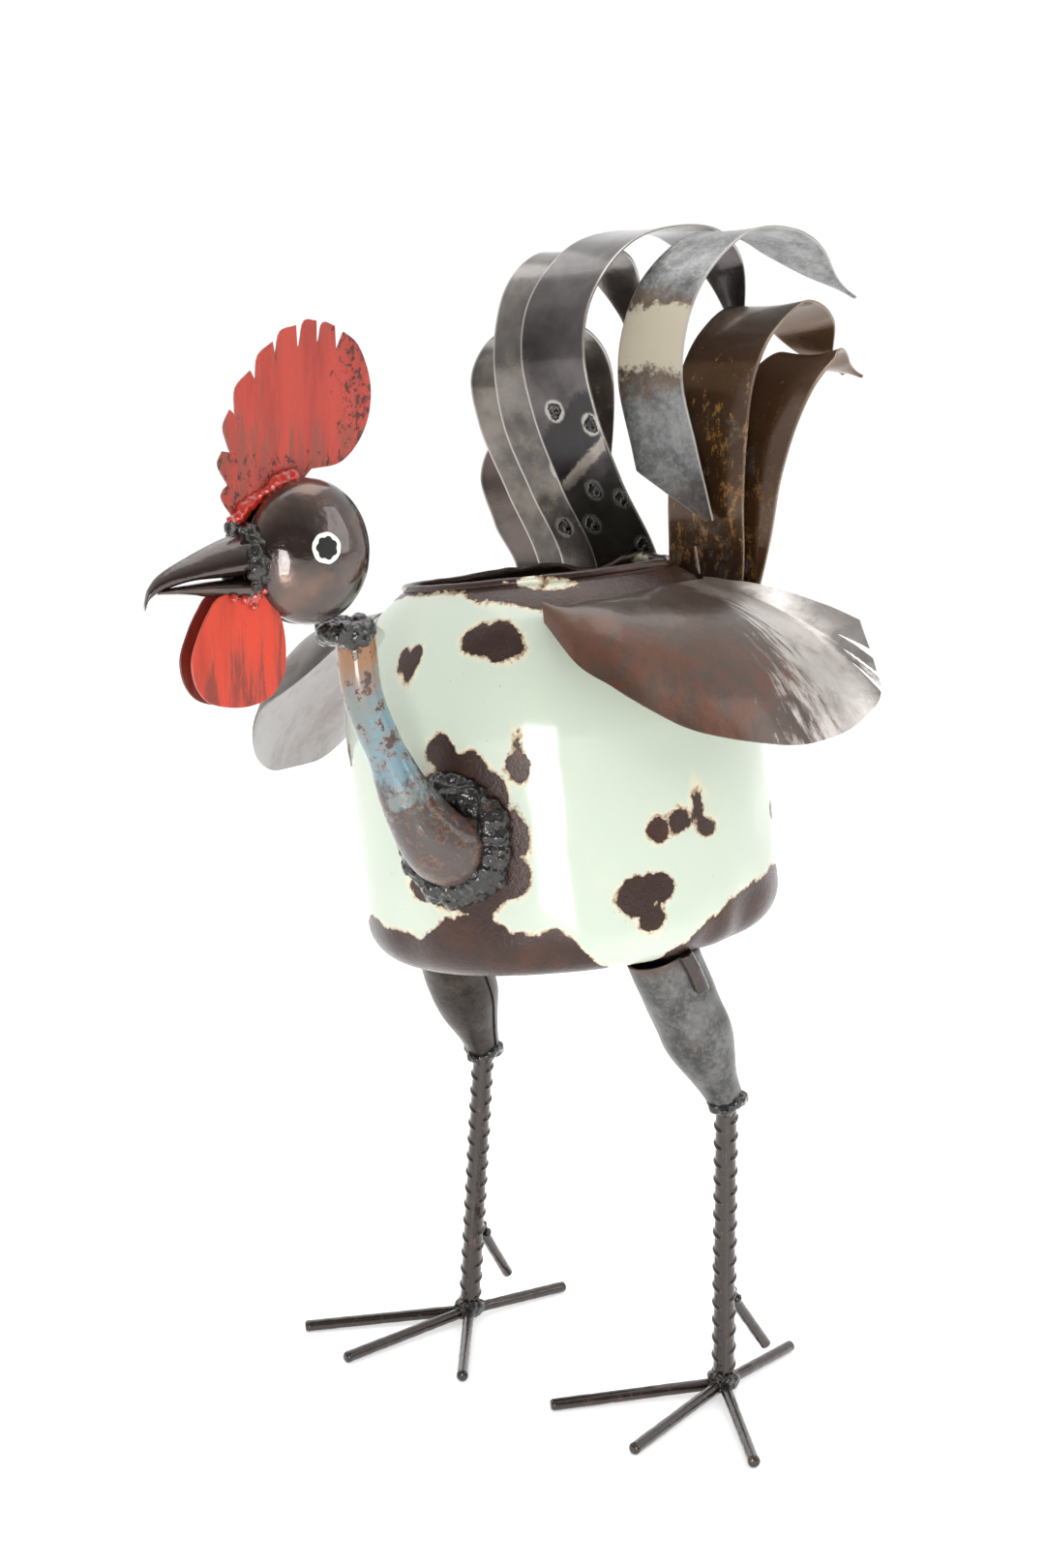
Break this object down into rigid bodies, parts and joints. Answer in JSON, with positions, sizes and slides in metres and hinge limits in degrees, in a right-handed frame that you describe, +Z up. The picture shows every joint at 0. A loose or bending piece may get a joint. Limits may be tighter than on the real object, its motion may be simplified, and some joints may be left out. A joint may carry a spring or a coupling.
{
  "type": "rooster garden sculpture",
  "caption": "Free-standing scrap-metal rooster with an open enamel pot for a body, spout neck, sheet wings, curled strip tail and rebar legs.",
  "frame": {"origin": "middle of the footprint of the whole bird, on the ground", "axes": "+Z up; the bird faces -Y and its left side is +X"},
  "size_m": [0.3775, 0.4998, 0.6492],
  "materials": {
    "mint_enamel": "glossy vitreous enamel, chipped to brown steel",
    "blue_enamel": "glossy speckled enamel with rust",
    "dark_steel": "dark clear-lacquered steel",
    "weld": "glossy black weld metal",
    "red_paint": "brushed red paint, worn",
    "wing_steel": "heat-tinted lacquered sheet steel",
    "tail_steel": "grey lacquered sheet steel",
    "rusty_steel": "lacquered rusty sheet steel",
    "galvanised": "dull galvanised sheet",
    "lacquered_rod": "dark lacquered bar",
    "white_paint": "white paint",
    "black_paint": "black"
  },
  "bodies": {
    "root": {"pot_body": "mint_enamel", "rim_tab": "rusty_steel", "wing_left": "wing_steel", "wing_right": "wing_steel", "neck_spout": "blue_enamel", "neck_root_weld": "weld", "head_disc_left": "dark_steel", "head_disc_right": "dark_steel", "head_band": "dark_steel", "beak_upper": "dark_steel", "beak_lower": "dark_steel", "comb": "red_paint", "wattle_left": "red_paint", "wattle_right": "red_paint", "eye_ring_left": "white_paint", "eye_pupil_left": "black_paint", "eye_ring_right": "white_paint", "eye_pupil_right": "black_paint", "beak_weld": "weld", "neck_top_weld": "weld", "tail_strip_1": "tail_steel", "tail_strip_2": "tail_steel", "tail_strip_3": "tail_steel", "tail_strip_4": "tail_steel", "tail_strip_5": "tail_steel", "tail_strip_6": "rusty_steel", "tail_strip_7": "rusty_steel", "tail_root_weld": "weld", "tail_side_weld": "weld", "thigh_left": "galvanised", "hip_strut_left": "lacquered_rod", "knee_weld_left": "weld", "shank_left": "lacquered_rod", "foot_weld_left": "weld", "toe_outer_left": "lacquered_rod", "toe_middle_left": "lacquered_rod", "toe_inner_left": "lacquered_rod", "toe_back_left": "lacquered_rod", "spur_left": "lacquered_rod", "thigh_right": "galvanised", "hip_strut_right": "lacquered_rod", "knee_weld_right": "weld", "shank_right": "lacquered_rod", "foot_weld_right": "weld", "toe_outer_right": "lacquered_rod", "toe_middle_right": "lacquered_rod", "toe_inner_right": "lacquered_rod", "toe_back_right": "lacquered_rod", "spur_right": "lacquered_rod"}
  },
  "joints": []
}
